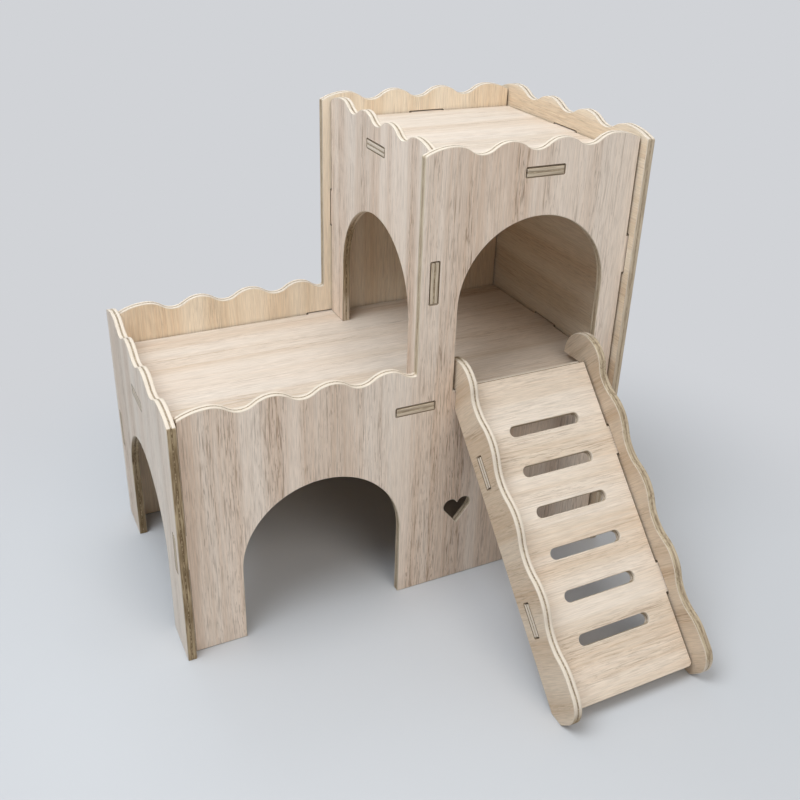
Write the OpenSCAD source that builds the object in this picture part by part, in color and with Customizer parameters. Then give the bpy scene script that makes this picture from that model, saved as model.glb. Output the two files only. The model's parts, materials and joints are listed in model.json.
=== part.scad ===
// Wooden hamster house: a flat-pack castle of laser-cut plywood. A low room with a deck on its roof
// stands beside a two-storey tower. Tabs on the panels pass through slots in their neighbours, and a
// ladder ramp hooks over the sill of the tower doorway and lifts off.
// Millimetres. The origin is on the ground, in the middle of the front panel's foot. +X runs to the
// right along the front, +Y to the back and +Z up.

/* [House] */
// Width over the two end panels
house_w = 253; // [225:1:300]
// Depth of the end panels
house_d = 142.5; // [125:0.5:190]
// Thickness of the plywood
ply = 4.5; // [3.5:0.5:5]
// How far a panel runs past the panel that it crosses
overhang = 5; // [3:0.5:9]
// Height of the low walls at their crests
low_h = 140; // [130:1:160]
// Height of the tower at its crests
tower_h = 250; // [245:1:300]
// Width of the tower, from its left edge to the outside of the right end panel
tower_w = 126.25; // [118:0.25:140]
// Depth of the floor below the crests of the low walls
floor_drop = 21.75; // [18:0.25:28]
// Depth of the roof below the crests of the tower
roof_drop = 13.75; // [12:0.25:20]

/* [Scalloped tops] */
// Scallops on each stretch of wall
crests = 4; // [3:1:5]
// Depth of a scallop, from crest to trough
scallop_depth = 5; // [2:0.5:7]
// Part of each scallop's radii that belongs to the crest; the rest belongs to the trough
crest_share = 0.58; // [0.4:0.02:0.7]
// Fall from the outer crest to the end of a wall
end_drop = 3.8; // [2.5:0.1:5]
// Rounding of the corner where a scalloped top ends
corner_r = 1.4; // [0.5:0.1:2.5]

/* [Doorways] */
// Width of the four doorways
door_w = 87; // [70:1:92]
// Wall left between the crown of a doorway on the ground and the floor above it
ground_head = 27; // [15:0.5:40]
// Distance from the left end to the middle of the front doorway on the ground
ground_door_x = 75.9; // [62:0.1:80]
// Wall left between the crown of the doorway from deck to tower and the roof
side_head = 33.5; // [15:0.5:50]
// Wall left between the crown of the tower doorway and the roof
tower_head = 20; // [15:0.5:35]
// Height of the tower doorway's sill above the floor
sill_h = 3.75; // [2:0.25:8]
// Distance from the right end to the middle of the tower doorway
tower_door_x = 61.8; // [58:0.1:63]

/* [Heart] */
// Width of the heart cut-out
heart_w = 16.6; // [12:0.2:22]
// Height of the heart cut-out
heart_h = 16.2; // [12:0.2:22]
// Radius of the heart's lobes, over a quarter of its width
heart_lobe_r = 4.25; // [4.2:0.05:4.6]
// Distance from the tower's left edge to the middle of the heart
heart_x = 28; // [16:0.1:32]
// Height of the heart's tip above the ground
heart_z = 37; // [20:1:80]

/* [Joints] */
// Length of the tabs on the panels
tab_len = 21; // [14:0.5:26]
// Play at each end of a tab, which is also the rounding of its slot's corners
tab_play = 0.6; // [0.4:0.1:1]
// Play across the thickness of a tab
fit_gap = 0.4; // [0.1:0.05:0.6]
// Gap between the edge of a panel and the face that it butts against
seam = 0.8; // [0.2:0.05:0.9]
// Height of the middle of the lower tabs on the front and back panels
low_tab_z = 63; // [40:1:90]

/* [Ramp] */
// Slope of the ramp in degrees
ramp_angle = 45; // [42:1:48]
// Play between each side of the ramp and the jambs of the tower doorway
ramp_play = 1.6; // [1:0.1:4]
// Height of the rails, square to the slope, at their crests
rail_h = 24.8; // [22:0.1:27]
// Depth of the scallops on the rails
rail_scallop = 4.4; // [2:0.1:6]
// Scallops on each rail between the nose and the foot
rail_crests = 4; // [3:1:5]
// Part of each rail scallop's radii that belongs to the crest
rail_share = 0.5; // [0.4:0.02:0.6]
// Radius of the nose that hooks over the sill
nose_r = 17; // [14:0.5:19]
// Distance along the slope from the nose's crest to the first trough
nose_run = 14.5; // [12:0.5:18]
// Level run along a rail from its last crest to the curve of its foot
foot_run = 7.2; // [4:0.1:14]
// Length of the flat sole on which a rail stands
sole_len = 7.8; // [3:0.1:12]
// Height of the heel that stands against the wall below the sill
heel_h = 10.5; // [9:0.5:12]
// Gap between the hooked ramp and the house
hook_gap = 0.2; // [0.1:0.1:0.5]
// Height of the tread's underside above the lower edge of the rails, square to the slope
tread_rise = 7.5; // [7:0.1:9]
// How far the tread stops short of the tips of the rails
tread_short = 4.7; // [2:0.1:8]
// Rounding of the tread's lower corners
tread_r = 2.5; // [1:0.5:5]
// Length of the tread's tabs
tread_tab_len = 16; // [12:0.5:20]
// Distance from each end of the tread to the middle of the nearest tab
tread_tab_inset = 45.5; // [40:0.5:55]
// Grip slots in the tread
grips = 6; // [4:1:7]
// Distance between the grip slots
grip_pitch = 21.6; // [16:0.1:22]
// Length of a grip slot
grip_len = 42.7; // [30:0.5:55]
// Width of a grip slot
grip_w = 5.8; // [4:0.1:8]

/* [Hidden] */

// straight steps in one arc of an outline, and in the heart's
arc_steps = 6;
heart_steps = 16;
// facets of a true circle
round_fn = 96;
// how far a cut runs past the face it opens
cut = 1;

// Places that follow from the sizes above
left = -house_w / 2;
right = house_w / 2;
front = -ply / 2;
end_front = front - overhang;
end_back = end_front + house_d;
back = end_back - overhang;
mid_y = (front + back) / 2;
room_left = left + ply;
room_right = right - ply;
room_front = front + ply;
room_back = back - ply;
tower_left = right - tower_w;
side_wall_x = tower_left + overhang;
tower_room_left = side_wall_x + ply;
roof_mid = (tower_room_left + room_right) / 2;
floor_z = low_h - floor_drop;
roof_z = tower_h - roof_drop;
side_wall_mid = (floor_z + tower_h) / 2;
sill_z = floor_z + sill_h;
door_mid = right - tower_door_x;

// Places on the ramp, in its own slope frame: u runs up the slope, n stands square to it, and both
// start where the lower edge of the rails meets the wall
heel_z = sill_z - heel_h;
foot_r = rail_h / 2;
tip_u = -heel_z / sin(ramp_angle) - sole_len * cos(ramp_angle);
foot_u = tip_u + foot_r;
nose_n = rail_h - nose_r;
nose_u = nose_n * tan(ramp_angle);
nose_z = nose_n / cos(ramp_angle);
first_trough_u = nose_u - nose_run;
rail_pitch = (first_trough_u - foot_u - foot_run) / (rail_crests - 0.5);
ramp_w = door_w - 2 * ramp_play;
tread_w = ramp_w - 2 * ply;
tread_top_u = nose_u;
tread_low_u = tip_u + tread_short;
tread_mid_u = (tread_top_u + tread_low_u) / 2;
tread_tabs_u = [tread_top_u - tread_tab_inset, tread_low_u + tread_tab_inset];

// Colours of the pale oak veneer: upright panels, and the lighter flat ones
wall_tone = [0.80, 0.74, 0.67];
deck_tone = [0.88, 0.83, 0.76];
rail_tone = [0.84, 0.77, 0.68];

function reversed(v) = [for (i = [len(v) - 1:-1:0]) v[i]];

function arc(centre, r, from, to, steps = arc_steps) =
    [for (i = [0:steps])
        let (a = from + (to - from) * i / steps)
        centre + r * [cos(a), sin(a)]];

// Curve from point a to point b, level at both, made of two arcs that meet in a common tangent.
// The first arc has the given share of the two radii. Point a itself is left out.
function s_curve(a, b, share) =
    let (run = b.x - a.x, rise = b.y - a.y)
    let (turn = 2 * atan(abs(rise / run)), radii = abs(run) / sin(turn))
    let (step = turn / arc_steps, way = [sign(run), sign(rise)])
    concat(
        [for (i = [1:arc_steps])
            a + share * radii * [way.x * sin(i * step), way.y * (1 - cos(i * step))]],
        [for (i = [arc_steps - 1:-1:0])
            b - (1 - share) * radii * [way.x * sin(i * step), way.y * (1 - cos(i * step))]]);

// End of a scalloped top, from its rounded corner at end_x up to the crest, which is left out
function open_end(end_x, crest) =
    let (run = abs(end_x - crest.x), side = sign(end_x - crest.x))
    let (r = (run * run + end_drop * end_drop) / (2 * end_drop), middle = crest - [0, r])
    let (small_run = run - corner_r, small_rise = sqrt(pow(r - corner_r, 2) - pow(small_run, 2)))
    let (tilt = atan(small_rise / small_run), corner = middle + [side * small_run, small_rise])
    concat(
        [for (i = [0:arc_steps - 1])
            let (a = tilt * i / arc_steps)
            corner + corner_r * [side * cos(a), sin(a)]],
        [for (i = [0:arc_steps - 1])
            let (a = tilt + (90 - tilt) * i / arc_steps)
            middle + r * [side * cos(a), sin(a)]]);

// End of a low top against the tower: down to a trough, then a small fillet up the tower's edge
function corner_end(end_x, crest) =
    let (trough = [end_x - corner_r, crest.y - scallop_depth])
    concat(s_curve(crest, trough, crest_share),
        arc(trough + [0, corner_r], corner_r, -90, 0));

// Scalloped top of a wall from x0 to x1, left to right, with its crests at the height top
function scallops(x0, x1, top, meets_tower = false) =
    let (pitch = (x1 - x0) / crests)
    let (crest = [for (i = [0:crests - 1]) [x0 + pitch * (i + 0.5), top]])
    concat(open_end(x0, crest[0]),
        [crest[0]],
        [for (i = [1:crests - 1])
            let (trough = [x0 + pitch * i, top - scallop_depth])
            each concat(s_curve(crest[i - 1], trough, crest_share),
                s_curve(trough, crest[i], 1 - crest_share))],
        meets_tower
            ? corner_end(x1, crest[crests - 1])
            : reversed(open_end(x1, crest[crests - 1])));

// Point of the slope frame that lies out from the wall's face and up from the heel's corner
function slope_point(out, up) =
    [up * sin(ramp_angle) - out * cos(ramp_angle), up * cos(ramp_angle) + out * sin(ramp_angle)];

// Heart with its tip at the origin and its lobes up
function heart_outline(w, h, r) =
    let (lobe = [w / 2 - r, h - r])
    let (cusp = acos(-lobe.x / r))
    let (side = atan2(-lobe.y, -lobe.x) + acos(r / norm(lobe)))
    let (half = arc(lobe, r, cusp, side, heart_steps))
    concat(half, [[0, 0]], [for (i = [len(half) - 1:-1:1]) [-half[i].x, half[i].y]]);

// Area inside an outline that is listed clockwise, left to right along its top
module outline(points) {
    polygon(reversed(points));
}

// Round-headed doorway with its foot at the origin
module doorway(h) {
    translate([-door_w / 2, 0])
        square([door_w, h - door_w / 2]);
    translate([0, h - door_w / 2])
        circle(d = door_w, $fn = round_fn);
}

// Doorway that is open at the ground
module ground_doorway() {
    doorway(floor_z - ply - ground_head);
    translate([-door_w / 2, -cut])
        square([door_w, 2 * cut]);
}

// Slot for a tab, centred on the tab, with its corners rounded to the play at the tab's ends
module slot(length, width) {
    r = tab_play;
    half = [length / 2 - r, width / 2 - r];
    polygon(concat(
        arc([half.x, half.y], r, 0, 90),
        arc([-half.x, half.y], r, 90, 180),
        arc([-half.x, -half.y], r, 180, 270),
        arc([half.x, -half.y], r, 270, 360)));
}

// Slot for a level tab, which rests on the slot's lower side
module level_slot(x, tab_top) {
    translate([x, tab_top + (fit_gap - ply) / 2])
        slot(tab_len + 2 * tab_play, ply + fit_gap);
}

// Slot for an upright tab, with the same play on both sides
module upright_slot(x, z) {
    translate([x, z])
        rotate(90)
            slot(tab_len + 2 * tab_play, ply + fit_gap);
}

// Tab that stands out to the left of x, as far as the outer face of the panel it goes through
module tab_left(x, z) {
    translate([x - ply - seam, z - tab_len / 2])
        square([ply + seam + cut, tab_len]);
}

module tab_right(x, z) {
    translate([x - cut, z - tab_len / 2])
        square([ply + seam + cut, tab_len]);
}

// Places a drawing of x and z as a plate whose front face is at y
module facing_front(y) {
    translate([0, y + ply, 0])
        rotate([90, 0, 0])
            linear_extrude(ply)
                children();
}

// Places a drawing of y and z as a plate whose left face is at x
module facing_left(x) {
    translate([x, 0, 0])
        rotate([90, 0, 90])
            linear_extrude(ply)
                children();
}

// Places a drawing of x and y as a level plate whose top face is at z
module lying(z) {
    translate([0, 0, z - ply])
        linear_extrude(ply)
            children();
}

// Outline that the front and back panels share, with the tabs for the end panels and the slots for
// the floor, the roof and the tower's side wall
module long_panel_drawing() {
    x0 = room_left + seam;
    x1 = room_right - seam;
    difference() {
        union() {
            outline(concat([[x0, 0]],
                scallops(x0, tower_left, low_h, meets_tower = true),
                scallops(tower_left, x1, tower_h),
                [[x1, 0]]));
            tab_left(x0, low_tab_z);
            tab_right(x1, low_tab_z);
            tab_right(x1, side_wall_mid);
        }
        level_slot(0, floor_z);
        level_slot(roof_mid, roof_z);
        upright_slot(side_wall_x + ply / 2, side_wall_mid);
    }
}

// Outline of an end panel, with the slots for the floor and for the front and back panels' tabs
module end_panel_drawing(h, tab_heights) {
    difference() {
        outline(concat([[end_front, 0]],
            scallops(end_front, end_back, h),
            [[end_back, 0]]));
        level_slot(mid_y, floor_z);
        for (y = [front + ply / 2, back - ply / 2])
            for (z = tab_heights)
                upright_slot(y, z);
    }
}

// Level panel between x0 and x1 with a tab in the middle of each side
module level_panel_drawing(x0, x1) {
    y0 = room_front + seam;
    y1 = room_back - seam;
    translate([x0, y0])
        square([x1 - x0, y1 - y0]);
    tab_left(x0, mid_y);
    tab_right(x1, mid_y);
}

// The tabs of a level panel that go through the front and back panels
module front_back_tabs(x) {
    translate([x - tab_len / 2, front])
        square([tab_len, back - front]);
}

module front_panel() {
    color(wall_tone)
        facing_front(front)
            difference() {
                long_panel_drawing();
                translate([left + ground_door_x, 0])
                    ground_doorway();
                translate([door_mid, sill_z])
                    doorway(roof_z - ply - tower_head - sill_z);
                translate([tower_left + heart_x, heart_z])
                    polygon(heart_outline(heart_w, heart_h, heart_lobe_r));
            }
}

module back_panel() {
    color(wall_tone)
        facing_front(room_back)
            long_panel_drawing();
}

module left_end_panel() {
    color(wall_tone)
        facing_left(left)
            difference() {
                end_panel_drawing(low_h, [low_tab_z]);
                translate([mid_y, 0])
                    ground_doorway();
            }
}

module right_end_panel() {
    color(wall_tone)
        facing_left(room_right)
            difference() {
                end_panel_drawing(tower_h, [low_tab_z, side_wall_mid]);
                level_slot(mid_y, roof_z);
            }
}

// Wall between deck and tower room. It stands on the floor.
module tower_side_wall() {
    y0 = room_front + seam;
    y1 = room_back - seam;
    color(wall_tone)
        facing_left(side_wall_x)
            difference() {
                union() {
                    outline(concat([[y0, floor_z]],
                        scallops(y0, y1, tower_h),
                        [[y1, floor_z]]));
                    tab_left(y0, side_wall_mid);
                    tab_right(y1, side_wall_mid);
                }
                translate([mid_y, floor_z]) {
                    doorway(roof_z - ply - side_head - floor_z);
                    translate([-door_w / 2, -cut])
                        square([door_w, 2 * cut]);
                }
                level_slot(mid_y, roof_z);
            }
}

module floor_panel() {
    color(deck_tone)
        lying(floor_z) {
            level_panel_drawing(room_left + seam, room_right - seam);
            front_back_tabs(0);
        }
}

module roof_panel() {
    color(deck_tone)
        lying(roof_z) {
            level_panel_drawing(tower_room_left + seam, room_right - seam);
            front_back_tabs(roof_mid);
        }
}

// Side view of a rail in the slope frame
module rail_drawing() {
    nose_end = -ramp_angle - asin((nose_z - heel_h - hook_gap) / nose_r);
    trough_n = rail_h - rail_scallop;
    difference() {
        outline(concat(
            [[-hook_gap / cos(ramp_angle), 0],
                [tip_u + sole_len * cos(ramp_angle), 0],
                [tip_u, sole_len * sin(ramp_angle)]],
            arc([foot_u, foot_r], foot_r, 180, 90, 2 * arc_steps),
            [[foot_u + foot_run, rail_h]],
            [for (i = [rail_crests - 1:-1:0])
                let (trough_u = first_trough_u - rail_pitch * i)
                each concat(
                    s_curve([trough_u - rail_pitch / 2, rail_h], [trough_u, trough_n], rail_share),
                    i > 0
                        ? s_curve([trough_u, trough_n], [trough_u + rail_pitch / 2, rail_h],
                            1 - rail_share)
                        : s_curve([trough_u, trough_n], [nose_u, rail_h], 1 - rail_share))],
            arc([nose_u, nose_n], nose_r, 90, nose_end, 3 * arc_steps),
            [slope_point(hook_gap, heel_h + hook_gap)]));
        for (u = tread_tabs_u)
            translate([u, tread_rise + ply / 2])
                slot(tread_tab_len + 2 * tab_play, ply + fit_gap);
    }
}

// Places what is modelled in the slope frame, with x to the right, u up the slope and n square to it
module on_slope() {
    translate([door_mid, front, heel_z])
        rotate([ramp_angle, 0, 0])
            children();
}

// Rail whose left face is at x, measured from the middle of the ramp
module rail(x) {
    color(rail_tone)
        on_slope()
            translate([x, 0, 0])
                rotate([90, 0, 90])
                    linear_extrude(ply)
                        rail_drawing();
}

module ramp_rail_left() {
    rail(-ramp_w / 2);
}

module ramp_rail_right() {
    rail(ramp_w / 2 - ply);
}

// Slot with round ends for a hamster's grip
module grip() {
    straight = grip_len - grip_w;
    translate([-straight / 2, -grip_w / 2])
        square([straight, grip_w]);
    for (x = [-straight / 2, straight / 2])
        translate([x, 0])
            circle(d = grip_w, $fn = round_fn);
}

module ramp_tread() {
    half_w = tread_w / 2 - seam;
    color(deck_tone)
        on_slope()
            translate([0, 0, tread_rise])
                linear_extrude(ply)
                    difference() {
                        union() {
                            outline(concat(
                                [[-half_w, tread_top_u], [half_w, tread_top_u]],
                                arc([half_w - tread_r, tread_low_u + tread_r], tread_r, 0, -90),
                                arc([tread_r - half_w, tread_low_u + tread_r], tread_r, -90, -180)));
                            for (u = tread_tabs_u)
                                translate([-ramp_w / 2, u - tread_tab_len / 2])
                                    square([ramp_w, tread_tab_len]);
                        }
                        for (i = [0:grips - 1])
                            translate([0, tread_mid_u + grip_pitch * (i - (grips - 1) / 2)])
                                grip();
                    }
}

front_panel();
back_panel();
left_end_panel();
right_end_panel();
tower_side_wall();
floor_panel();
roof_panel();
ramp_tread();
ramp_rail_left();
ramp_rail_right();
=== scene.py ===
import json
import math
from collections import namedtuple

import bmesh
import bpy
from mathutils import Matrix, Vector
from mathutils.bvhtree import BVHTree


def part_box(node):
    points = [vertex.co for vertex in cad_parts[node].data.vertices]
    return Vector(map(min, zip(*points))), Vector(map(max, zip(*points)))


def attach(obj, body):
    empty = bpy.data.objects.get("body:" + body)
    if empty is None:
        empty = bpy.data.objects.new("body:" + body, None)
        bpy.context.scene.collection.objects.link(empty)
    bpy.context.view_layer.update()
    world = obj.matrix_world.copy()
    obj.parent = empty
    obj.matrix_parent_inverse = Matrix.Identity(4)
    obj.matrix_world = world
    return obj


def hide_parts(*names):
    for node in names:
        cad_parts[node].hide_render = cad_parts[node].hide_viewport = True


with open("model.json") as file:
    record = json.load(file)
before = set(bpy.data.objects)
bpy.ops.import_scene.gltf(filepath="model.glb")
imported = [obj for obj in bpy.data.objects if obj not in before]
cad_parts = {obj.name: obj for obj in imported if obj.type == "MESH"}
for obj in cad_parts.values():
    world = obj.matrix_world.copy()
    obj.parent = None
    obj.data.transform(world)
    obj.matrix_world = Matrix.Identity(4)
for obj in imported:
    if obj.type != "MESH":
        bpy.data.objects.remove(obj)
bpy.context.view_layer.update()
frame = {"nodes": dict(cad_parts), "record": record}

bl_info = {
    "name": "Wooden Hamster House",
    "version": (1, 0, 0),
    "blender": (4, 5, 0),
    "location": "3D View > Sidebar > Hamster House",
    "description": "Dresses a flat-pack plywood hamster house with oak veneer and laser-cut edges",
    "category": "Object",
}

# Directions on the house. The ramp's sheets stand on a slope of 45 degrees.
UP = Vector((0, 0, 1))
FRONT = Vector((0, -1, 0))
LEFT = Vector((-1, 0, 0))
OFF_SLOPE = Vector((0, -1, 1)).normalized()

# All pieces are cut from plywood of one thickness, which is read from the floor
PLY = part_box("floor_panel")[1][2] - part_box("floor_panel")[0][2]

# A rim within this distance of another sheet is in a seam, where it gets painted shade over its
# laser scorch and no painted highlight
SEAM_REACH = 0.0009
# How far outside another sheet's box a point may lie and still be on a tab in its slot
TAB_SLACK = 1e-4
# Points of a solid that are nearer than this are one point
SAME_POINT = 1e-6
# A face of a solid is on the drawn side if its normal leans from that side by less than this
# cosine says and it lies no deeper than this below the outermost point
FACE_COSINE = 0.99
FACE_DEPTH = 1e-5
# Loops of the finished sheet that are nearer than this are merged
SAME_LOOP = 2e-6
# Cut edges that turn by less than this are shaded smooth
CREASE = math.radians(52)

# Depth of the pores and of the saw marks that the bump shows
VENEER_RELIEF = 0.00012
EDGE_RELIEF = 0.0002

# Turns that bring a sheet's grain to the pattern's own upright axis
GRAIN_UP = (0, 0, 0)
GRAIN_ALONG = (0, -math.pi / 2, 0)
GRAIN_BACK = (math.pi / 2, 0, 0)
GRAIN_OFF_SLOPE = (-math.pi / 4, 0, 0)
GRAIN_UP_SLOPE = (math.pi / 4, 0, 0)
GRAIN_ALONG_SLOPE = (-math.pi / 4, -math.pi / 2, 0)

# Per sheet: the face that is drawn, the turns of its veneer and of its plies, the finishes of the
# drawn face and of its back, its lightness beside the other sheets, how burnt its long-grain edges
# are, and its place on the log, so that no two sheets carry the same figure
Sheet = namedtuple("Sheet", "facing veneer_turn ply_turn finish back_finish lightness burn log")
# The finishes of the inner faces and of the backs carry painted shade: they are warmer and darker
# than the walls, as the inside of the rooms is in shade
SHEETS = {
    "front_panel": Sheet(FRONT, GRAIN_UP, GRAIN_UP, "wall", "back", 1.03, 0.15, 0.0),
    "back_panel": Sheet(FRONT, GRAIN_UP, GRAIN_UP, "inner", "wall", 1.13, 0.3, 1.7),
    "left_end_panel": Sheet(LEFT, GRAIN_UP, GRAIN_UP, "end", "back", 1.0, 1.0, 3.1),
    "right_end_panel": Sheet(LEFT, GRAIN_BACK, GRAIN_UP, "inner", "wall", 1.06, 0.1, 4.3),
    "tower_side_wall": Sheet(LEFT, GRAIN_UP, GRAIN_UP, "wall", "back", 1.04, 0.9, 5.9),
    "floor_panel": Sheet(UP, GRAIN_ALONG, GRAIN_ALONG, "deck", "back", 0.97, 0.3, 7.3),
    "roof_panel": Sheet(UP, GRAIN_ALONG, GRAIN_ALONG, "deck", "back", 1.04, 0.3, 8.2),
    "ramp_tread": Sheet(
        OFF_SLOPE, GRAIN_ALONG_SLOPE, GRAIN_ALONG_SLOPE, "tread", "tread", 1.0, 0.3, 9.6),
    "ramp_rail_left": Sheet(
        LEFT, GRAIN_OFF_SLOPE, GRAIN_OFF_SLOPE, "rail", "rail", 1.0, 0.7, 11.4),
    "ramp_rail_right": Sheet(
        LEFT, GRAIN_OFF_SLOPE, GRAIN_UP_SLOPE, "rail", "rail", 0.95, 0.4, 12.9),
}

# The back of a sheet shows another part of the log, at its plain lightness
BACK_LOG = 20
BACK_LIGHTNESS = 1.0

# How far one step on the log moves the pattern along each axis, in metres
LOG_STEP = (1, 0.37, 0.61)

# Strength of the growth rings and of the pores in each finish
FIGURES = {
    "wall": (0.9, 0.72),
    "end": (0.65, 0.5),
    "deck": (1.0, 0.5),
    "tread": (0.7, 0.45),
    "rail": (0.7, 0.45),
    "inner": (0.7, 0.3),
    "back": (0.6, 0.25),
}

# Colours of the cool light from above and of the warmer light from the front
DAYLIGHT = (0.86, 0.93, 1.0)
KEY_LIGHT = (1.0, 0.955, 0.89)

# Where the lamps stand, how wide they are and what they are aimed at
LEFT_LAMP = ((-0.4, -0.1, 0.9), 0.6)
FRONT_LAMP = ((0.1, -1.15, 1.15), 0.8)
BACK_LAMP = ((0.0, 0.9, 1.1), 0.8)
LAMP_AIM = (0, 0, 0.12)

# Floor disc: its radius, its gap below the house, and where its own colour fades to the backdrop
FLOOR_RADIUS = 9.0
FLOOR_GAP = 0.0002
FLOOR_FADE = (0.16, 0.38)

# Camera at the photograph's angle: place, yaw, pitch and roll in degrees, and lens shift
CAMERA_PLACE = (-0.194978, -0.377110, 0.357248)
CAMERA_TURNS = (27.7002, -26.8857, 2.3837)
CAMERA_SHIFT = (-0.02595, -0.04687)
CAMERA_SENSOR = 36


def srgb(red, green, blue):
    """Linear colour from the usual 0 to 255 values."""
    return tuple(
        (c / 255 / 12.92) if c / 255 <= 0.04045 else ((c / 255 + 0.055) / 1.055) ** 2.4
        for c in (red, green, blue)
    ) + (1.0,)


def colour(name, description, default):
    """Colour property of a finish."""
    return bpy.props.FloatVectorProperty(
        name=name, description=description, default=default, subtype="COLOR", size=4,
        min=0, max=1,
    )


def length(name, description, default, most):
    """Length property in metres."""
    return bpy.props.FloatProperty(
        name=name, description=description, default=default, min=0, max=most,
        subtype="DISTANCE", unit="LENGTH", precision=5,
    )


class VeneerFinish(bpy.types.PropertyGroup):
    """Colours of the oak veneer and of the bare edges of the plywood."""

    wall_light: colour("Wall light", "Light wood of the upright sheets", srgb(228, 213, 198))
    wall_dark: colour("Wall dark", "Darker bands of the upright sheets", srgb(211, 190, 171))
    end_light: colour("End light", "Light wood of the two end panels", srgb(226, 213, 199))
    end_dark: colour("End dark", "Darker bands of the two end panels", srgb(212, 195, 178))
    deck_light: colour("Deck light", "Light wood of floor and roof", srgb(211, 197, 182))
    deck_dark: colour("Deck dark", "Darker bands of floor and roof", srgb(203, 186, 167))
    tread_light: colour("Tread light", "Light wood of the ramp's tread", srgb(220, 205, 188))
    tread_dark: colour("Tread dark", "Darker bands of the ramp's tread", srgb(206, 186, 163))
    rail_light: colour("Rail light", "Light wood of the ramp's rails", srgb(214, 195, 172))
    rail_dark: colour("Rail dark", "Darker bands of the ramp's rails", srgb(198, 174, 147))
    # Painted shade: the inner finish is warmer than the walls to stand in for the warm shade inside
    # the rooms
    inner_light: colour("Inner light", "Light wood of the faces turned inward", srgb(224, 209, 187))
    inner_dark: colour("Inner dark", "Darker bands of the faces turned inward", srgb(212, 192, 165))
    # Painted shade: the backs all face the inside, and their darker, warmer colour stands in for
    # the shade there
    back_light: colour("Back light", "Light wood of the sheets' hidden backs", srgb(202, 176, 140))
    back_dark: colour("Back dark", "Darker bands of the sheets' hidden backs", srgb(188, 159, 121))
    pore: colour("Pores", "Short dark pores along the grain", srgb(134, 106, 82))
    # The end grain's cream is also the painted highlight on the free rims
    edge_cream_and_rim_highlight: colour("End grain", "Ply edge that is cut across the grain", srgb(215, 200, 182))
    edge_tan: colour("Long grain", "Ply edge that is cut along the grain", srgb(190, 168, 134))
    # The scorch colour is the laser's burn and the glue lines, and also the painted shade in the
    # seams
    scorch_and_seam_shade: colour("Scorch And Seam Shade", "Wood burnt by the laser, and the glue lines", srgb(104, 82, 54))


class EdgeFinish(bpy.types.PropertyGroup):
    """Sizes of the laser-cut edges."""

    rounding: length("Edge rounding", "Rounding where a face meets an edge", 0.00035, 0.001)
    glue_width: length("Glue line width", "Width of the groove at a glue line", 0.00022, 0.001)
    glue_depth: length("Glue line depth", "Depth of the groove at a glue line", 0.00006, 0.0003)
    core: bpy.props.FloatProperty(
        name="Core", description="Share of the sheet's thickness that is its middle ply",
        default=0.15, min=0.1, max=0.6, subtype="FACTOR",
    )


class StudioLook(bpy.types.PropertyGroup):
    """Floor, lamps and camera of the studio."""

    floor: colour("Floor", "Colour of the floor", srgb(193, 192, 192))
    backdrop: colour("Backdrop", "Colour behind the house and far floor", srgb(209, 211, 215))
    sky_low: bpy.props.FloatProperty(
        name="Sky at the horizon", description="Strength of the even light from the sides",
        default=0.02, min=0, max=2,
    )
    sky_high: bpy.props.FloatProperty(
        name="Sky overhead", description="Strength of the even light from above", default=0.88,
        min=0, max=2,
    )
    left_lamp: bpy.props.FloatProperty(
        name="Left lamp", description="Power of the soft lamp above the left end", default=6.4,
        min=0, max=200, subtype="POWER",
    )
    front_lamp: bpy.props.FloatProperty(
        name="Front lamp", description="Power of the soft lamp at the front", default=6.6,
        min=0, max=200, subtype="POWER",
    )
    back_lamp: bpy.props.FloatProperty(
        name="Back lamp", description="Power of the soft lamp above the back", default=2.7,
        min=0, max=200, subtype="POWER",
    )
    lens: bpy.props.FloatProperty(
        name="Lens", description="Focal length of the camera in millimetres", default=42.771,
        min=10, max=200,
    )


# ---------------------------------------------------------------------------------- node helpers


def add_node(tree, kind, inputs=(), **settings):
    """New node with its settings made, and its inputs linked to sockets or set to values."""
    made = tree.nodes.new(kind)
    for name, value in settings.items():
        setattr(made, name, value)
    for key, value in dict(inputs).items():
        if isinstance(value, bpy.types.NodeSocket):
            tree.links.new(value, made.inputs[key])
        else:
            made.inputs[key].default_value = value
    return made


def maths(tree, operation, a, b=0.0, c=0.0):
    """Number from a maths node."""
    return add_node(
        tree, "ShaderNodeMath", {0: a, 1: b, 2: c}, operation=operation).outputs[0]


def vectors(tree, operation, a, b=(0, 0, 0)):
    """Vector from a vector maths node, or its length. For SCALE, b is the factor."""
    key = "Scale" if operation == "SCALE" else 1
    made = add_node(tree, "ShaderNodeVectorMath", {0: a, key: b}, operation=operation)
    return made.outputs["Value" if operation == "LENGTH" else "Vector"]


def stretch(tree, value, low, high, new_low=0.0, new_high=1.0, smooth=True):
    """Value from low to high brought to a new range, and held inside it."""
    return add_node(
        tree, "ShaderNodeMapRange",
        {"Value": value, "From Min": low, "From Max": high, "To Min": new_low, "To Max": new_high},
        interpolation_type="SMOOTHSTEP" if smooth else "LINEAR", clamp=True,
    ).outputs["Result"]


def mixed(tree, share, a, b, blend="MIX"):
    """Colour a changed to b by the share."""
    return add_node(
        tree, "ShaderNodeMix", {0: share, 6: a, 7: b}, data_type="RGBA", blend_type=blend,
        clamp_factor=True,
    ).outputs[2]


def noise(tree, vector, scale, detail=2.0, rough=0.5):
    """Noise over a vector that is first scaled by a vector of counts per metre."""
    return add_node(
        tree, "ShaderNodeTexNoise",
        {"Vector": vectors(tree, "MULTIPLY", vector, scale), "Scale": 1.0, "Detail": detail,
         "Roughness": rough},
    ).outputs["Fac"]


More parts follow.
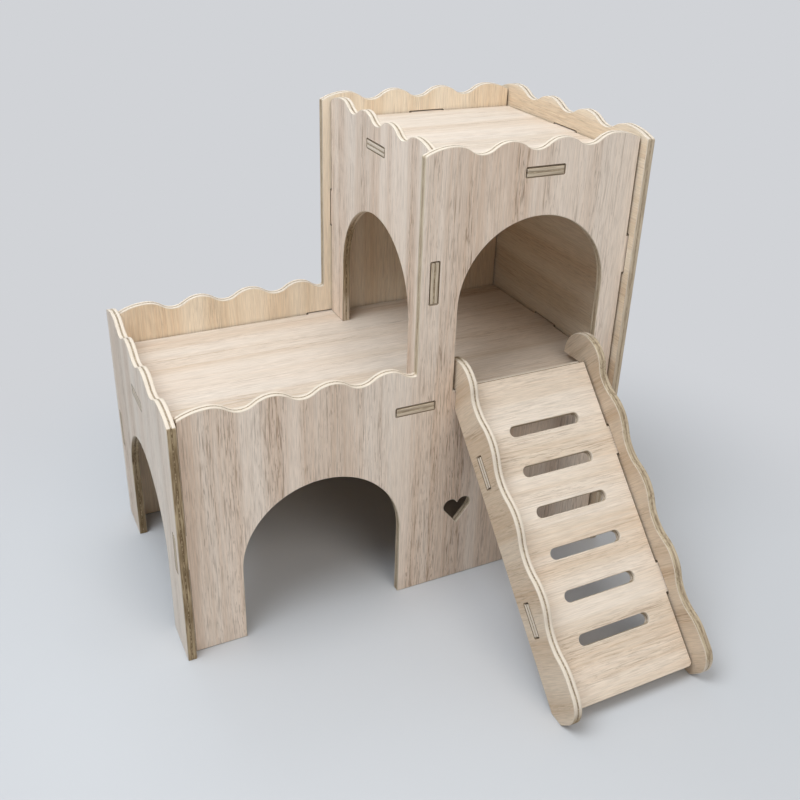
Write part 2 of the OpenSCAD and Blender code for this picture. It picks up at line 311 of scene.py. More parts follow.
def new_group(kind, name, inputs, outputs):
    """Node group with its sockets made; returns the tree and its input and output nodes."""
    tree = bpy.data.node_groups.new(name, kind)
    for label, socket_type, default in inputs:
        made = tree.interface.new_socket(label, in_out="INPUT", socket_type=socket_type)
        if default is not None:
            made.default_value = default
    for label, socket_type in outputs:
        tree.interface.new_socket(label, in_out="OUTPUT", socket_type=socket_type)
    return tree, tree.nodes.new("NodeGroupInput"), tree.nodes.new("NodeGroupOutput")


# ------------------------------------------------------------------------------- material effects


def veneer_group():
    """Sliced oak: soft bands, growth rings, clustered pores and fine fibre, grain along Z."""
    name = "Oak Veneer"
    if name in bpy.data.node_groups:
        return bpy.data.node_groups[name]
    tree, given, result = new_group(
        "ShaderNodeTree", name,
        [("Vector", "NodeSocketVector", None), ("Light", "NodeSocketColor", None),
         ("Dark", "NodeSocketColor", None), ("Pore", "NodeSocketColor", None),
         ("Lightness", "NodeSocketFloat", 1.0), ("Ring Strength", "NodeSocketFloat", 0.5),
         ("Pore Strength", "NodeSocketFloat", 0.6)],
        [("Color", "NodeSocketColor"), ("Roughness", "NodeSocketFloat"),
         ("Height", "NodeSocketFloat")],
    )
    # the fibres wander a little to the side; all patterns are scaled by counts per metre
    wander = add_node(
        tree, "ShaderNodeTexNoise",
        {"Vector": vectors(tree, "MULTIPLY", given.outputs["Vector"], (18, 18, 5)), "Scale": 1.0,
         "Detail": 1.0},
    ).outputs["Color"]
    drift = vectors(tree, "MULTIPLY", vectors(tree, "SUBTRACT", wander, (0.5, 0.5, 0.5)),
                    (0.005, 0.005, 0.0))
    place = vectors(tree, "ADD", given.outputs["Vector"], drift)

    # growth rings: broad bands, rosy bands and fine lines
    bands = stretch(tree, noise(tree, place, (62, 62, 1.6), 2.0), 0.38, 0.62)
    rose = stretch(tree, noise(tree, place, (38, 38, 1.9), 1.0), 0.35, 0.65)
    lines = stretch(tree, noise(tree, place, (800, 800, 7), 3.0, 0.6), 0.4, 0.66)
    ring_mask = maths(tree, "MULTIPLY", lines, maths(tree, "MULTIPLY_ADD", bands, 0.7, 0.3))

    # pores: long streaks and short dashes, crowded in the darker bands
    clusters = stretch(tree, noise(tree, place, (120, 120, 4), 2.0), 0.4, 0.6)
    crowd = maths(tree, "MULTIPLY", clusters, maths(tree, "MULTIPLY_ADD", bands, 0.6, 0.4))
    streaks = stretch(tree, noise(tree, place, (1500, 1500, 60), 2.0, 0.6), 0.5, 0.68)
    dashes = stretch(tree, noise(tree, place, (1900, 1900, 150), 2.0, 0.6), 0.56, 0.7)
    pores = maths(tree, "MULTIPLY", maths(tree, "MAXIMUM", streaks, dashes),
                  maths(tree, "MULTIPLY_ADD", crowd, 0.8, 0.2))
    fibre = noise(tree, place, (1900, 1900, 110), 1.0)

    base = mixed(tree, maths(tree, "MULTIPLY", bands, 0.75), given.outputs["Light"],
                 given.outputs["Dark"])
    base = mixed(tree, maths(tree, "MULTIPLY", rose, 0.5), base, (1.03, 0.985, 0.95, 1),
                 "MULTIPLY")
    ringed = mixed(tree, maths(tree, "MULTIPLY", ring_mask, given.outputs["Ring Strength"]), base,
                   (0.92, 0.86, 0.8, 1), "MULTIPLY")
    pored = mixed(tree, maths(tree, "MULTIPLY", pores, given.outputs["Pore Strength"]), ringed,
                  given.outputs["Pore"])
    shade = maths(tree, "MULTIPLY", stretch(tree, fibre, 0.3, 0.7, 0.92, 1.08, smooth=False),
                  given.outputs["Lightness"])
    tone = vectors(tree, "SCALE", pored, shade)
    tree.links.new(tone, result.inputs["Color"])
    tree.links.new(stretch(tree, pores, 0.0, 1.0, 0.58, 0.78), result.inputs["Roughness"])
    height = maths(tree, "SUBTRACT", maths(tree, "MULTIPLY", fibre, 0.25), pores)
    tree.links.new(height, result.inputs["Height"])
    return tree


def ply_edge_group():
    """Cut edge of three plies: pale end grain or tan long grain, glue lines, a painted highlight on
    the rims where they are free, and painted shade over the laser's scorch in the seams."""
    name = "Ply Edge"
    if name in bpy.data.node_groups:
        return bpy.data.node_groups[name]
    tree, given, result = new_group(
        "ShaderNodeTree", name,
        [("Vector", "NodeSocketVector", None), ("Normal", "NodeSocketVector", None),
         ("Depth", "NodeSocketFloat", 0.5), ("Core", "NodeSocketFloat", 0.2),
         ("Joined", "NodeSocketFloat", 0.0), ("Tab", "NodeSocketFloat", 0.0),
         ("Burn", "NodeSocketFloat", 0.5), ("Cream And Rim Highlight", "NodeSocketColor", None),
         ("Tan", "NodeSocketColor", None), ("Scorch And Seam Shade", "NodeSocketColor", None)],
        [("Color", "NodeSocketColor"), ("Roughness", "NodeSocketFloat"),
         ("Height", "NodeSocketFloat")],
    )
    place = given.outputs["Vector"]
    cream_and_rim_highlight, tan, scorch_and_seam_shade = (given.outputs[k] for k in ("Cream And Rim Highlight", "Tan", "Scorch And Seam Shade"))

    # depth in the sheet, as a share of its thickness
    from_middle = maths(tree, "ABSOLUTE", maths(tree, "SUBTRACT", given.outputs["Depth"], 0.5))
    half_core = maths(tree, "MULTIPLY", given.outputs["Core"], 0.5)
    core = stretch(tree, maths(tree, "SUBTRACT", half_core, from_middle), -0.02, 0.02)
    glue = maths(tree, "ABSOLUTE", maths(tree, "SUBTRACT", from_middle, half_core))
    glue = stretch(tree, glue, 0.015, 0.045, 1.0, 0.0)
    at_face = stretch(tree, from_middle, 0.43, 0.46)

    # free rims get a painted highlight; rims in a seam get laser scorch and painted shade, walls in
    # a seam painted shade
    free = stretch(tree, given.outputs["Joined"], 0.3, 0.7, 1.0, 0.0)
    rim = maths(tree, "MULTIPLY", at_face, free)
    seam_rim_scorch_and_shade = maths(tree, "SUBTRACT", at_face, rim)
    seam_wall_shade = maths(tree, "MULTIPLY", maths(tree, "SUBTRACT", 1.0, free),
                    stretch(tree, given.outputs["Tab"], 0.3, 0.7, 1.0, 0.0))

    # the outer plies show end grain where the cut faces along the grain
    facing = add_node(tree, "ShaderNodeSeparateXYZ", {"Vector": given.outputs["Normal"]}).outputs
    end = stretch(tree, maths(tree, "ABSOLUTE", facing["Z"]), 0.45, 0.9)
    streaks = noise(tree, place, (1300, 1300, 75), 2.0, 0.6)
    specks = noise(tree, place, (1400, 1400, 500), 2.0, 0.6)
    blotch = noise(tree, place, (150, 150, 60), 2.0)
    burn = maths(tree, "MULTIPLY", given.outputs["Burn"], free)
    long_grain = mixed(tree, burn, mixed(tree, 0.45, cream_and_rim_highlight, tan), tan)
    dark_streaks = maths(tree, "MULTIPLY", stretch(tree, streaks, 0.45, 0.66),
                         maths(tree, "MULTIPLY_ADD", burn, 0.45, 0.35))
    long_grain = mixed(tree, dark_streaks, long_grain, scorch_and_seam_shade)
    charred = maths(tree, "MULTIPLY", stretch(tree, blotch, 0.3, 0.7, 0.2, 0.75), burn)
    long_grain = mixed(tree, charred, long_grain, scorch_and_seam_shade)
    end_grain = mixed(tree, stretch(tree, specks, 0.5, 0.75, 0.0, 0.3), cream_and_rim_highlight, tan)
    plies = mixed(tree, end, long_grain, end_grain)

    # the middle ply's grain lies across, so it is dark where the outer plies show end grain
    middle = mixed(tree, stretch(tree, specks, 0.35, 0.6), tan, scorch_and_seam_shade)
    showing = maths(tree, "MAXIMUM", end,
                    maths(tree, "MULTIPLY_ADD", given.outputs["Burn"], 0.6, 0.4))
    base = mixed(tree, maths(tree, "MULTIPLY", core, maths(tree, "MULTIPLY", showing, 0.75)),
                 plies, middle)
    base = mixed(tree, maths(tree, "MULTIPLY", glue, 0.4), base, scorch_and_seam_shade)
    # painted shade in the seams: joined rims and seam walls are darkened to the scorch colour
    dark = maths(tree, "MAXIMUM", maths(tree, "MULTIPLY", seam_rim_scorch_and_shade, 0.85),
                 maths(tree, "MULTIPLY", seam_wall_shade, 0.7))
    base = mixed(tree, dark, base, scorch_and_seam_shade)
    # painted highlight: free rims are lightened to the cream of the end grain
    base = mixed(tree, maths(tree, "MULTIPLY", rim, 0.75), base, cream_and_rim_highlight)
    tree.links.new(base, result.inputs["Color"])
    tree.links.new(stretch(tree, specks, 0.3, 0.7, 0.66, 0.85), result.inputs["Roughness"])
    dents = maths(tree, "MULTIPLY", streaks, maths(tree, "SUBTRACT", 1.3, end))
    tree.links.new(maths(tree, "SUBTRACT", 0.0, maths(tree, "ADD", dents, glue)),
                   result.inputs["Height"])
    return tree


def empty_material(name):
    """Material whose node tree is empty."""
    material = bpy.data.materials.new(name)
    material.use_nodes = True
    material.node_tree.nodes.clear()
    return material


def wood_shader(tree, effect, relief):
    """Principled shader and output fed by an effect group's colour, roughness and height."""
    bump = add_node(tree, "ShaderNodeBump", {"Height": effect.outputs["Height"], "Strength": 0.5,
                                             "Distance": relief})
    shader = add_node(
        tree, "ShaderNodeBsdfPrincipled",
        {"Base Color": effect.outputs["Color"], "Roughness": effect.outputs["Roughness"],
         "Normal": bump.outputs["Normal"], "Specular IOR Level": 0.3},
    )
    add_node(tree, "ShaderNodeOutputMaterial", {"Surface": shader.outputs["BSDF"]})


def pattern_place(tree, turn, log):
    """Object coordinates with the grain turned upright and moved to a place on the log."""
    return add_node(
        tree, "ShaderNodeMapping",
        {"Vector": tree.nodes.new("ShaderNodeTexCoord").outputs["Object"], "Rotation": turn,
         "Location": tuple(log * step for step in LOG_STEP)},
        vector_type="POINT",
    ).outputs["Vector"]


def veneer_material(name, back=False):
    """Veneer of the drawn face of one sheet, or of its back."""
    sheet = SHEETS[name]
    if back:
        finish_name, lightness, log = sheet.back_finish, BACK_LIGHTNESS, sheet.log + BACK_LOG
    else:
        finish_name, lightness, log = sheet.finish, sheet.lightness, sheet.log
    finish = bpy.context.scene.hamster_house_veneer
    rings, pores = FIGURES[finish_name]
    material = empty_material(("back_veneer_" if back else "veneer_") + name)
    tree = material.node_tree
    effect = add_node(tree, "ShaderNodeGroup", node_tree=veneer_group())
    for key, value in (("Light", getattr(finish, finish_name + "_light")),
                       ("Dark", getattr(finish, finish_name + "_dark")), ("Pore", finish.pore),
                       ("Lightness", lightness), ("Ring Strength", rings),
                       ("Pore Strength", pores)):
        effect.inputs[key].default_value = value
    tree.links.new(pattern_place(tree, sheet.veneer_turn, log), effect.inputs["Vector"])
    wood_shader(tree, effect, VENEER_RELIEF)
    return material


def edge_material(name):
    """Cut edge of one sheet, with the sheet's own attributes for depth, seams and tabs."""
    sheet = SHEETS[name]
    finish = bpy.context.scene.hamster_house_veneer
    material = empty_material("cut_edge_" + name)
    tree = material.node_tree
    effect = add_node(tree, "ShaderNodeGroup", node_tree=ply_edge_group())
    for key, value in (("Cream And Rim Highlight", finish.edge_cream_and_rim_highlight), ("Tan", finish.edge_tan),
                       ("Scorch And Seam Shade", finish.scorch_and_seam_shade), ("Burn", sheet.burn),
                       ("Core", bpy.context.scene.hamster_house_edge.core)):
        effect.inputs[key].default_value = value
    tree.links.new(pattern_place(tree, sheet.ply_turn, sheet.log), effect.inputs["Vector"])
    way = tree.nodes.new("ShaderNodeTexCoord").outputs["Normal"]
    turned = add_node(tree, "ShaderNodeMapping", {"Vector": way, "Rotation": sheet.ply_turn},
                      vector_type="NORMAL")
    tree.links.new(turned.outputs["Vector"], effect.inputs["Normal"])
    for label, key in (("ply_depth", "Depth"), ("joined", "Joined"), ("tab", "Tab")):
        mark = add_node(tree, "ShaderNodeAttribute", attribute_name=label)
        tree.links.new(mark.outputs["Fac"], effect.inputs[key])
    wood_shader(tree, effect, EDGE_RELIEF)
    return material


# -------------------------------------------------------------------------------- plywood sheets


def body_of(name):
    """Name of the body that a sheet belongs to."""
    bodies = frame["record"]["behaviour"]["bodies"]
    return next(body for body, nodes in bodies.items() if name in nodes)


def solid_tree(name):
    """Search tree of a sheet's plain solid."""
    mesh = frame["nodes"][name].data
    return BVHTree.FromPolygons([v.co for v in mesh.vertices], [p.vertices for p in mesh.polygons])


def way_out(vert, facing):
    """Direction in which a rim point's cut edges face, long enough to offset both of them by one
    but held short at sharp corners, or None inside the face."""
    ways = []
    for edge in vert.link_edges:
        if len(edge.link_faces) == 1:
            along = (edge.verts[1].co - edge.verts[0].co).normalized()
            way = along.cross(facing)
            inside = edge.link_faces[0].calc_center_median() - edge.verts[0].co
            ways.append(-way if way.dot(inside) > 0 else way)
    if len(ways) != 2:
        return None
    return (ways[0] + ways[1]) / max(1 + ways[0].dot(ways[1]), 0.5)


def sheet_face(name):
    """The drawn face of a sheet. Each rim point has its way out, and marks that say if it meets
    another sheet of the same body and if it is on a tab in that sheet's slot."""
    facing = SHEETS[name].facing
    work = bmesh.new()
    work.from_mesh(frame["nodes"][name].data)
    bmesh.ops.remove_doubles(work, verts=work.verts, dist=SAME_POINT)
    work.normal_update()
    outer = max(v.co.dot(facing) for v in work.verts)
    spare = [f for f in work.faces
             if f.normal.dot(facing) < FACE_COSINE
             or f.calc_center_median().dot(facing) < outer - FACE_DEPTH]
    bmesh.ops.delete(work, geom=spare, context="FACES")
    if not work.faces:
        raise RuntimeError(name + " has no face that way")
    others = [other for other in SHEETS if other != name and body_of(other) == body_of(name)]
    boxes = [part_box(other) for other in others]
    trees = [solid_tree(other) for other in others]
    outward = work.verts.layers.float_vector.new("outward")
    joined = work.verts.layers.float.new("joined")
    tab = work.verts.layers.float.new("tab")
    for vert in work.verts:
        vert[joined] = float(any(
            tree.find_nearest(vert.co, SEAM_REACH)[0] is not None for tree in trees))
        vert[tab] = float(any(
            all(low[i] - TAB_SLACK < vert.co[i] < high[i] + TAB_SLACK for i in range(3))
            for low, high in boxes))
        way = way_out(vert, facing)
        if way is not None:
            vert[outward] = way
    mesh = bpy.data.meshes.new("face_" + name)
    work.to_mesh(mesh)
    work.free()
    return mesh


def edge_rows():
    """Loops across the cut edge: each depth and inset as shares of thickness, core, rounding,
    glue width and glue depth."""
    half, turn = 0.5, 1 - math.sqrt(0.5)
    near = [((0, 0, 0, 0), (1, 0)), ((0, 0, turn, 0), (turn, 0)), ((0, 0, 1, 0), (0, 0))]
    groove = [((half, -half, 0, -half), (0, 0)), ((half, -half, 0, 0), (0, 1)),
              ((half, -half, 0, half), (0, 0))]
    first = near + groove
    second = [((1 - d[0], -d[1], -d[2], -d[3]), i) for d, i in reversed(first)]
    return first + second


def plywood_tree():
    """Builds a sheet of plywood on its drawn face: ply by ply, with rounded rims and glue lines."""
    name = "Plywood Sheet"
    if name in bpy.data.node_groups:
        return bpy.data.node_groups[name]
    tree, given, result = new_group(
        "GeometryNodeTree", name,
        [("Face", "NodeSocketGeometry", None), ("Facing", "NodeSocketVector", (0, 0, 1)),
         ("Thickness", "NodeSocketFloat", 0.004), ("Core", "NodeSocketFloat", 0.0008),
         ("Rounding", "NodeSocketFloat", 0.0002), ("Glue Width", "NodeSocketFloat", 0.0002),
         ("Glue Depth", "NodeSocketFloat", 0.00005), ("Veneer", "NodeSocketMaterial", None),
         ("Back Veneer", "NodeSocketMaterial", None), ("Cut Edge", "NodeSocketMaterial", None)],
        [("Sheet", "NodeSocketGeometry")],
    )
    tree.is_modifier = True
    rows = edge_rows()

    def attribute(kind, label):
        """Named attribute of the mesh."""
        return add_node(tree, "GeometryNodeInputNamedAttribute", {"Name": label},
                        data_type=kind).outputs["Attribute"]

    def store(geometry, kind, domain, label, value, chosen=True):
        """Mesh with a value stored in a named attribute."""
        return add_node(
            tree, "GeometryNodeStoreNamedAttribute",
            {"Geometry": geometry, "Name": label, "Value": value, "Selection": chosen},
            data_type=kind, domain=domain,
        ).outputs["Geometry"]

    def moved(geometry, offset, chosen=True):
        """Mesh with the chosen points moved by an offset."""
        return add_node(
            tree, "GeometryNodeSetPosition",
            {"Geometry": geometry, "Selection": chosen, "Offset": offset},
        ).outputs["Geometry"]

    def row_value(index, column, sizes):
        """Weighted sum of the sizes for the row at the index."""
        total = None
        for place, size in enumerate(sizes):
            pick = add_node(tree, "GeometryNodeIndexSwitch", data_type="FLOAT")
            while len(pick.index_switch_items) < len(rows):
                pick.index_switch_items.new()
            tree.links.new(index, pick.inputs["Index"])
            for number, row in enumerate(rows):
                pick.inputs[number + 1].default_value = float(row[column][place])
            part = maths(tree, "MULTIPLY", pick.outputs[0], size)
            total = part if total is None else maths(tree, "ADD", total, part)
        return total

    depth_sizes = [given.outputs[k] for k in ("Thickness", "Core", "Rounding", "Glue Width")]
    inset_sizes = [given.outputs[k] for k in ("Rounding", "Glue Depth")]
    outward = attribute("FLOAT_VECTOR", "outward")

    # the far face lies one thickness behind the drawn face, drawn in by the rounding
    back = vectors(tree, "SCALE", given.outputs["Facing"],
                   maths(tree, "MULTIPLY", given.outputs["Thickness"], -1.0))
    drawn_in = vectors(tree, "SCALE", outward,
                       maths(tree, "MULTIPLY", given.outputs["Rounding"], -1.0))
    start = moved(given.outputs["Face"], vectors(tree, "ADD", back, drawn_in))
    start = store(start, "BOOLEAN", "FACE", "broad", True)
    start = store(start, "FLOAT", "POINT", "ply_depth", 0.0)
    flipped = add_node(tree, "GeometryNodeFlipFaces", {"Mesh": start})

    # each round of the loop grows the broad face by one row of the cut edge
    opened = tree.nodes.new("GeometryNodeRepeatInput")
    closed = tree.nodes.new("GeometryNodeRepeatOutput")
    opened.pair_with_output(closed)
    opened.inputs["Iterations"].default_value = len(rows) - 1
    tree.links.new(start, opened.inputs["Geometry"])
    here = opened.outputs["Iteration"]
    there = maths(tree, "ADD", here, 1.0)
    step = maths(tree, "SUBTRACT", row_value(there, 0, depth_sizes),
                 row_value(here, 0, depth_sizes))
    widen = maths(tree, "SUBTRACT", row_value(here, 1, inset_sizes),
                  row_value(there, 1, inset_sizes))
    grown = add_node(
        tree, "GeometryNodeExtrudeMesh",
        {"Mesh": opened.outputs["Geometry"], "Selection": attribute("BOOLEAN", "broad"),
         "Offset": given.outputs["Facing"], "Offset Scale": step, "Individual": False},
        mode="FACES")
    ply = store(grown.outputs["Mesh"], "BOOLEAN", "FACE", "broad", grown.outputs["Top"])
    on_top = attribute("BOOLEAN", "broad")
    ply = moved(ply, vectors(tree, "SCALE", outward, widen), on_top)
    share = maths(tree, "DIVIDE", row_value(there, 0, depth_sizes), given.outputs["Thickness"])
    ply = store(ply, "FLOAT", "POINT", "ply_depth", share, on_top)
    tree.links.new(ply, closed.inputs["Geometry"])

    # both broad faces and the cut edge become one mesh, smooth along the cut and crisp at corners
    both = tree.nodes.new("GeometryNodeJoinGeometry")
    tree.links.new(flipped.outputs["Mesh"], both.inputs["Geometry"])
    tree.links.new(closed.outputs["Geometry"], both.inputs["Geometry"])
    merged = add_node(tree, "GeometryNodeMergeByDistance",
                      {"Geometry": both.outputs["Geometry"], "Distance": SAME_LOOP})
    is_broad = attribute("BOOLEAN", "broad")
    not_broad = add_node(tree, "FunctionNodeBooleanMath", {0: is_broad}, operation="NOT")
    smooth = add_node(tree, "GeometryNodeSetShadeSmooth",
                      {"Geometry": merged.outputs["Geometry"],
                       "Shade Smooth": not_broad.outputs[0]}, domain="FACE")
    angle = tree.nodes.new("GeometryNodeInputMeshEdgeAngle")
    soft = add_node(tree, "FunctionNodeCompare",
                    {0: angle.outputs["Unsigned Angle"], 1: CREASE},
                    data_type="FLOAT", operation="LESS_THAN")
    creased = add_node(tree, "GeometryNodeSetShadeSmooth",
                       {"Geometry": smooth.outputs["Geometry"],
                        "Shade Smooth": soft.outputs["Result"]}, domain="EDGE")
    # veneer on the drawn face, back veneer on the far face, and bare plies between them
    real = add_node(tree, "GeometryNodeRealizeInstances",
                    {"Geometry": creased.outputs["Geometry"]})
    edged = add_node(tree, "GeometryNodeSetMaterial",
                     {"Geometry": real.outputs["Geometry"],
                      "Material": given.outputs["Cut Edge"]})
    faced = add_node(tree, "GeometryNodeSetMaterial",
                     {"Geometry": edged.outputs["Geometry"], "Selection": is_broad,
                      "Material": given.outputs["Veneer"]})
    behind = add_node(tree, "FunctionNodeCompare", {0: attribute("FLOAT", "ply_depth"), 1: 0.5},
                      data_type="FLOAT", operation="LESS_THAN")
    far_face = add_node(tree, "FunctionNodeBooleanMath",
                        {0: is_broad, 1: behind.outputs["Result"]}, operation="AND")
    backed = add_node(tree, "GeometryNodeSetMaterial",
                      {"Geometry": faced.outputs["Geometry"], "Selection": far_face.outputs[0],
                       "Material": given.outputs["Back Veneer"]})
    tree.links.new(backed.outputs["Geometry"], result.inputs["Sheet"])
    return tree


def build_sheet(name):
    """Plywood piece in place of a sheet's plain solid."""
    edge = bpy.context.scene.hamster_house_edge
    work = bpy.data.objects.new("work_" + name, sheet_face(name))
    bpy.context.scene.collection.objects.link(work)
    modifier = work.modifiers.new("Plywood", "NODES")
    modifier.node_group = plywood_tree()
    values = {"Facing": tuple(SHEETS[name].facing), "Thickness": PLY, "Core": PLY * edge.core,
              "Rounding": edge.rounding, "Glue Width": edge.glue_width,
              "Glue Depth": edge.glue_depth, "Veneer": veneer_material(name),
              "Back Veneer": veneer_material(name, back=True),
              "Cut Edge": edge_material(name)}
    for item in modifier.node_group.interface.items_tree:
        if item.item_type == "SOCKET" and item.in_out == "INPUT" and item.name in values:
            modifier[item.identifier] = values[item.name]
    bpy.context.view_layer.update()
    graph = bpy.context.evaluated_depsgraph_get()
    mesh = bpy.data.meshes.new_from_object(work.evaluated_get(graph))
    bpy.data.objects.remove(work)
    mesh.name = "plywood_" + name
    for spare in ("outward", "broad"):
        if spare in mesh.attributes:
            mesh.attributes.remove(mesh.attributes[spare])
    piece = bpy.data.objects.new("plywood_" + name, mesh)
    bpy.context.scene.collection.objects.link(piece)
    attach(piece, body_of(name))
    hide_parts(name)


# ----------------------------------------------------------------------------------------- studio


def seen_ray(tree):
    """1 where the camera, a gloss or a glass sees the surface itself, and 0 where it lights."""
    path = tree.nodes.new("ShaderNodeLightPath")
    mirrored = maths(tree, "MAXIMUM", path.outputs["Is Glossy Ray"],
                     path.outputs["Is Transmission Ray"])
    return maths(tree, "MAXIMUM", path.outputs["Is Camera Ray"], mirrored)


def lay_floor(look):
    """Pale floor that keeps the house's shadow and fades to the backdrop further out."""
    mesh = bpy.data.meshes.new("studio_floor")
    work = bmesh.new()
    bmesh.ops.create_circle(work, cap_ends=True, radius=FLOOR_RADIUS, segments=96)
    work.to_mesh(mesh)
    work.free()
    floor = bpy.data.objects.new("studio_floor", mesh)
    floor.location.z = -FLOOR_GAP
    bpy.context.scene.collection.objects.link(floor)
    material = empty_material("studio_floor")
    tree = material.node_tree
    matt = add_node(tree, "ShaderNodeBsdfPrincipled",
                    {"Base Color": look.floor, "Roughness": 0.9, "Specular IOR Level": 0.1})
    far = add_node(tree, "ShaderNodeEmission", {"Color": look.backdrop, "Strength": 1.0})
    reach = vectors(tree, "LENGTH", tree.nodes.new("ShaderNodeTexCoord").outputs["Object"])
    fade = maths(tree, "MULTIPLY", stretch(tree, reach, *FLOOR_FADE), seen_ray(tree))
    shown = add_node(tree, "ShaderNodeMixShader",
                     {0: fade, 1: matt.outputs[0], 2: far.outputs[0]})
    add_node(tree, "ShaderNodeOutputMaterial", {"Surface": shown.outputs[0]})
    mesh.materials.append(material)


def hang_sky(look):
    """Even light that grows overhead, behind which the backdrop's own colour is seen."""
    world = bpy.data.worlds.new("studio_sky")
    bpy.context.scene.world = world
    world.use_nodes = True
    tree = world.node_tree
    tree.nodes.clear()
    way = tree.nodes.new("ShaderNodeTexCoord").outputs["Generated"]
    rise = add_node(tree, "ShaderNodeSeparateXYZ", {"Vector": way}).outputs["Z"]
    strength = stretch(tree, rise, 0.0, 1.0, look.sky_low, look.sky_high, smooth=False)
    light = add_node(tree, "ShaderNodeBackground",
                     {"Color": (*DAYLIGHT, 1), "Strength": strength})
    seen = add_node(tree, "ShaderNodeBackground", {"Color": look.backdrop, "Strength": 1.0})
    both = add_node(tree, "ShaderNodeMixShader",
                    {0: seen_ray(tree), 1: light.outputs[0], 2: seen.outputs[0]})
    add_node(tree, "ShaderNodeOutputWorld", {"Surface": both.outputs[0]})


def area_lamp(name, place, size, power, tint):
    """Round soft lamp aimed at the house."""
    data = bpy.data.lights.new(name, "AREA")
    data.shape = "DISK"
    data.size = size
    data.energy = power
    data.color = tint
    lamp = bpy.data.objects.new(name, data)
    lamp.location = place
    aim = Vector(LAMP_AIM) - Vector(place)
    lamp.rotation_euler = aim.to_track_quat("-Z", "Y").to_euler()
    bpy.context.scene.collection.objects.link(lamp)


def place_camera(look):
    """Camera at the photograph's angle."""
    data = bpy.data.cameras.new("camera")
    data.lens = look.lens
    data.sensor_width = CAMERA_SENSOR
    data.shift_x, data.shift_y = CAMERA_SHIFT
    data.clip_start = 0.01
    camera = bpy.data.objects.new("camera", data)
    yaw, pitch, roll = (math.radians(a) for a in CAMERA_TURNS)
    ahead = Vector((math.sin(yaw) * math.cos(pitch), math.cos(yaw) * math.cos(pitch),
                    math.sin(pitch)))
    level = Vector((math.cos(yaw), -math.sin(yaw), 0))
    above = level.cross(ahead)
    across = level * math.cos(roll) + above * math.sin(roll)
    upright = above * math.cos(roll) - level * math.sin(roll)
    turn = Matrix((across, upright, -ahead)).transposed()
    camera.location = CAMERA_PLACE
    camera.rotation_euler = turn.to_euler()
    bpy.context.scene.collection.objects.link(camera)
    bpy.context.scene.camera = camera


# -------------------------------------------------------------------------------------- operators


class HAMSTERHOUSE_OT_front_and_back(bpy.types.Operator):
    """Builds the front and back panels"""

    bl_idname = "hamster_house.front_and_back"
    bl_label = "Front and back panels"

    def execute(self, context):
        build_sheet("front_panel")
        build_sheet("back_panel")
        return {"FINISHED"}


class HAMSTERHOUSE_OT_end_panels(bpy.types.Operator):
    """Builds the two end panels"""

    bl_idname = "hamster_house.end_panels"
    bl_label = "End panels"

    def execute(self, context):
        build_sheet("left_end_panel")
        build_sheet("right_end_panel")
        return {"FINISHED"}


class HAMSTERHOUSE_OT_side_wall(bpy.types.Operator):
    """Builds the wall between deck and tower room"""

    bl_idname = "hamster_house.side_wall"
    bl_label = "Tower side wall"

    def execute(self, context):
        build_sheet("tower_side_wall")
        return {"FINISHED"}


class HAMSTERHOUSE_OT_decks(bpy.types.Operator):
    """Builds the floor and the roof"""

    bl_idname = "hamster_house.decks"
    bl_label = "Floor and roof"

    def execute(self, context):
        build_sheet("floor_panel")
        build_sheet("roof_panel")
        return {"FINISHED"}


class HAMSTERHOUSE_OT_ramp(bpy.types.Operator):
    """Builds the ladder ramp: its slotted tread and its two wavy rails"""

    bl_idname = "hamster_house.ramp"
    bl_label = "Ladder ramp"

    def execute(self, context):
        build_sheet("ramp_tread")
        build_sheet("ramp_rail_left")
        build_sheet("ramp_rail_right")
        return {"FINISHED"}


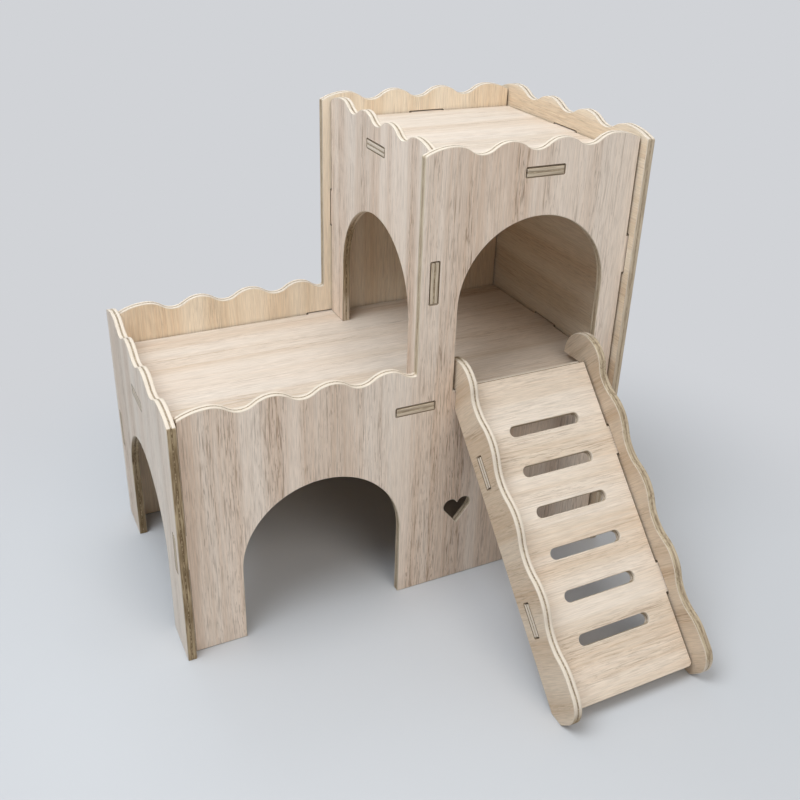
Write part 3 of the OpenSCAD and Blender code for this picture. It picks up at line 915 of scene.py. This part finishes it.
class HAMSTERHOUSE_OT_stage(bpy.types.Operator):
    """Sets up the pale floor, the soft lamps and the camera"""

    bl_idname = "hamster_house.stage"
    bl_label = "Studio stage"

    def execute(self, context):
        look = context.scene.hamster_house_studio
        context.scene.view_settings.view_transform = "Standard"
        lay_floor(look)
        hang_sky(look)
        area_lamp("left_lamp", *LEFT_LAMP, look.left_lamp, DAYLIGHT)
        area_lamp("front_lamp", *FRONT_LAMP, look.front_lamp, KEY_LIGHT)
        area_lamp("back_lamp", *BACK_LAMP, look.back_lamp, DAYLIGHT)
        place_camera(look)
        return {"FINISHED"}


# -------------------------------------------------------------------------- panel and registration


class HAMSTERHOUSE_PT_build(bpy.types.Panel):
    """Lists the pieces of the house and their finish"""

    bl_idname = "HAMSTERHOUSE_PT_build"
    bl_label = "Hamster House"
    bl_space_type = "VIEW_3D"
    bl_region_type = "UI"
    bl_category = "Hamster House"

    def draw(self, context):
        """Draws the properties in boxes, and a button for each operator."""
        layout = self.layout
        for group in PROPERTY_GROUPS:
            values = getattr(context.scene, group)
            box = layout.box()
            for name in type(values).__annotations__:
                box.prop(values, name)
        for operator in OPERATORS:
            layout.operator(operator.bl_idname)


PROPERTY_GROUPS = {
    "hamster_house_veneer": VeneerFinish,
    "hamster_house_edge": EdgeFinish,
    "hamster_house_studio": StudioLook,
}
OPERATORS = (
    HAMSTERHOUSE_OT_stage,
    HAMSTERHOUSE_OT_front_and_back,
    HAMSTERHOUSE_OT_end_panels,
    HAMSTERHOUSE_OT_side_wall,
    HAMSTERHOUSE_OT_decks,
    HAMSTERHOUSE_OT_ramp,
)


def register():
    """Registers the classes and puts the properties on the scene."""
    for group in PROPERTY_GROUPS.values():
        bpy.utils.register_class(group)
    for operator in OPERATORS:
        bpy.utils.register_class(operator)
    bpy.utils.register_class(HAMSTERHOUSE_PT_build)
    for name, group in PROPERTY_GROUPS.items():
        setattr(bpy.types.Scene, name, bpy.props.PointerProperty(type=group))


def unregister():
    """Takes away what register added."""
    for name in PROPERTY_GROUPS:
        delattr(bpy.types.Scene, name)
    bpy.utils.unregister_class(HAMSTERHOUSE_PT_build)
    for operator in reversed(OPERATORS):
        bpy.utils.unregister_class(operator)
    for group in reversed(list(PROPERTY_GROUPS.values())):
        bpy.utils.unregister_class(group)


def main():
    register()
    bpy.ops.hamster_house.stage()
    bpy.ops.hamster_house.front_and_back()
    bpy.ops.hamster_house.end_panels()
    bpy.ops.hamster_house.side_wall()
    bpy.ops.hamster_house.decks()
    bpy.ops.hamster_house.ramp()


if __name__ == "__main__":
    main()
